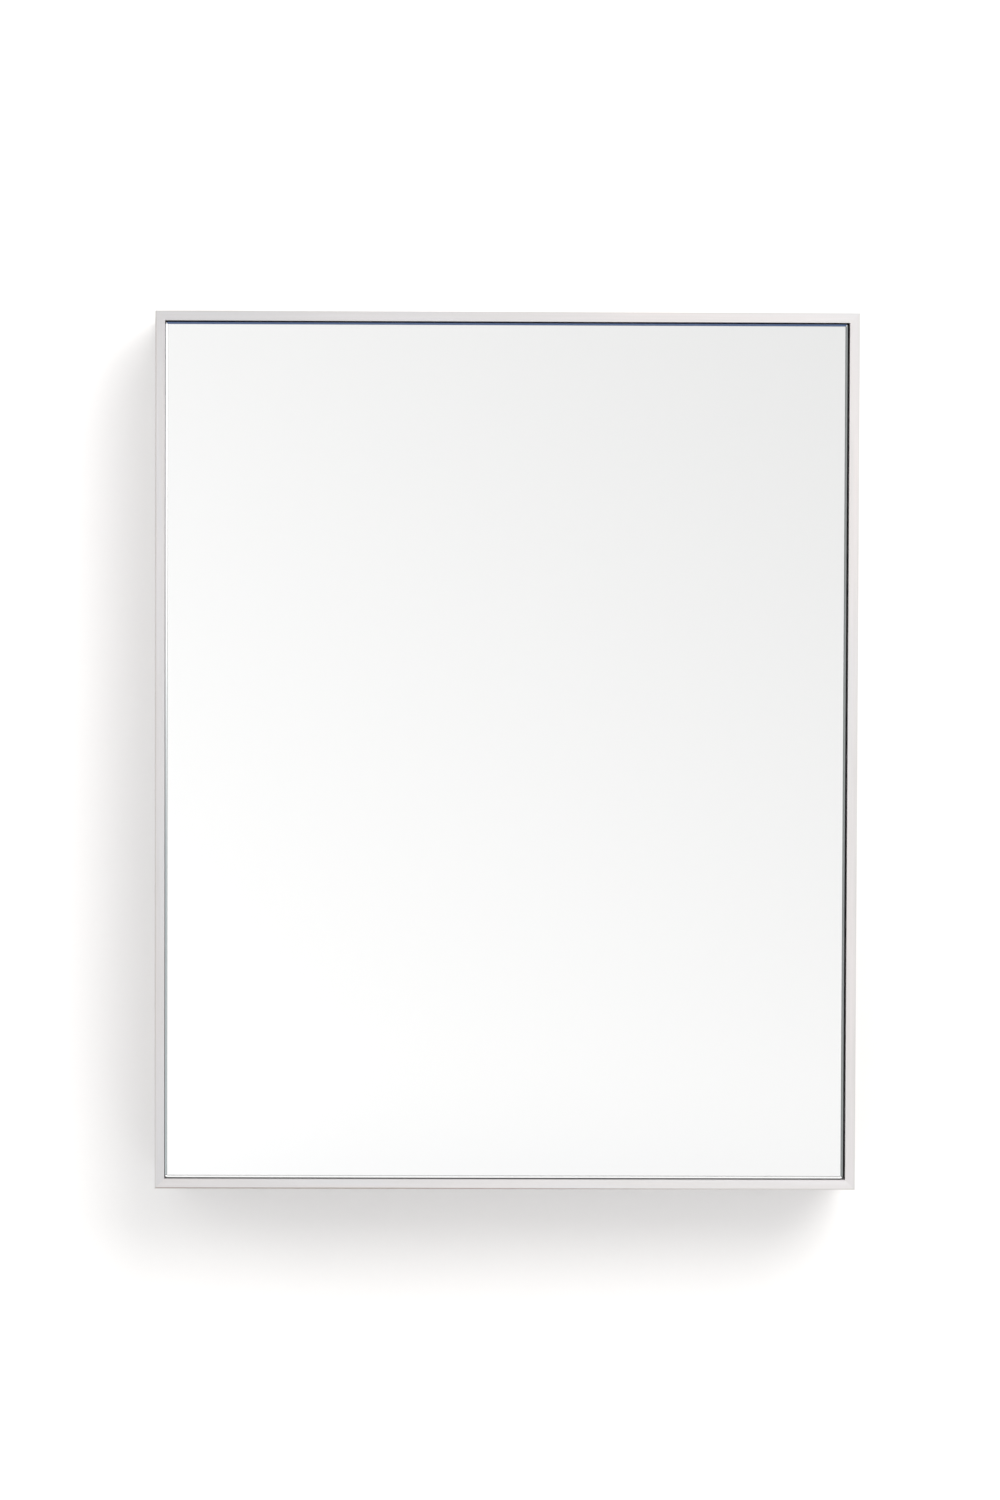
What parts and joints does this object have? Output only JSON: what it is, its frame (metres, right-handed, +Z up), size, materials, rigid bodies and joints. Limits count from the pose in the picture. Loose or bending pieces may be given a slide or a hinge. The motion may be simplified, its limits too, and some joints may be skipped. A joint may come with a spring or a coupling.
{
  "type": "hanging wall cabinet",
  "caption": "Slim upright wall cabinet: pale mitred frame, one large inset mirror door on hidden pivots with a push latch, shelves inside and hanging rails behind.",
  "frame": {"origin": "centre of the four wall screw holes, on the plane of the wall", "axes": "+Z up, the long way of the cabinet; +Y into the wall; +X to the right as seen from in front"},
  "size_m": [0.44, 0.105, 0.55],
  "materials": {
    "frame_paint": "whitewashed wood, satin, faint lengthwise grain",
    "panel_paint": "white-painted hardboard, matt",
    "shelf_paint": "white-painted board, satin",
    "door_paint": "white-painted backing board, satin",
    "bare_wood": "unfinished softwood and beech",
    "silvering": "silver coat with grey backing paint",
    "mirror_glass": "clear float glass with a polished arris",
    "tape_foam": "white foam mirror tape",
    "zinc_steel": "bright zinc-plated steel",
    "nickel": "nickel-plated steel",
    "pin_steel": "ground steel pin",
    "washer_nylon": "natural nylon",
    "buffer_rubber": "clear-white soft bumper",
    "latch_plastic": "white moulded plastic",
    "latch_plastic_grey": "light grey acetal",
    "magnet": "dark ferrite magnet"
  },
  "bodies": {
    "carcass": {"side_left": "frame_paint", "side_right": "frame_paint", "top_board": "frame_paint", "bottom_board": "frame_paint", "mitre_splines": "bare_wood", "back_panel": "panel_paint", "hanging_rail_top": "bare_wood", "hanging_rail_bottom": "bare_wood", "rail_dowels": "bare_wood", "shelf_upper": "shelf_paint", "shelf_lower": "shelf_paint", "shelf_pins_upper": "nickel", "shelf_pins_lower": "nickel", "pivot_bracket_upper": "zinc_steel", "pivot_bracket_lower": "zinc_steel", "bracket_screws": "nickel", "stop_blocks": "shelf_paint", "stop_screws": "nickel", "door_buffers": "buffer_rubber", "latch_housing": "latch_plastic", "latch_spring": "nickel", "latch_screws": "nickel"},
    "door": {"door_panel": "door_paint", "mirror_tape": "tape_foam", "mirror_silvering": "silvering", "mirror_glass": "mirror_glass", "pivot_plate_upper": "zinc_steel", "pivot_plate_lower": "zinc_steel", "plate_screws": "nickel", "pivot_pin_upper": "pin_steel", "pivot_pin_lower": "pin_steel", "pivot_washer_upper": "washer_nylon", "pivot_washer_lower": "washer_nylon", "strike_plate": "nickel", "strike_screws": "nickel"},
    "plunger": {"latch_plunger": "latch_plastic_grey", "latch_magnet": "magnet"}
  },
  "joints": [
    {"name": "door_swing", "type": "hinge", "parent": "carcass", "child": "door", "pos_m": [0.1986, -0.0974, 0], "axis": [0, 0, 1], "range_deg": [0, 110]},
    {"name": "latch_travel", "type": "slide", "parent": "carcass", "child": "plunger", "axis": [0, -1, 0], "range_m": [0, 0.0141]}
  ],
  "couplings": [
    {"joint": "latch_travel", "follows": "door_swing", "m_per_rad": 0.0073}
  ]
}
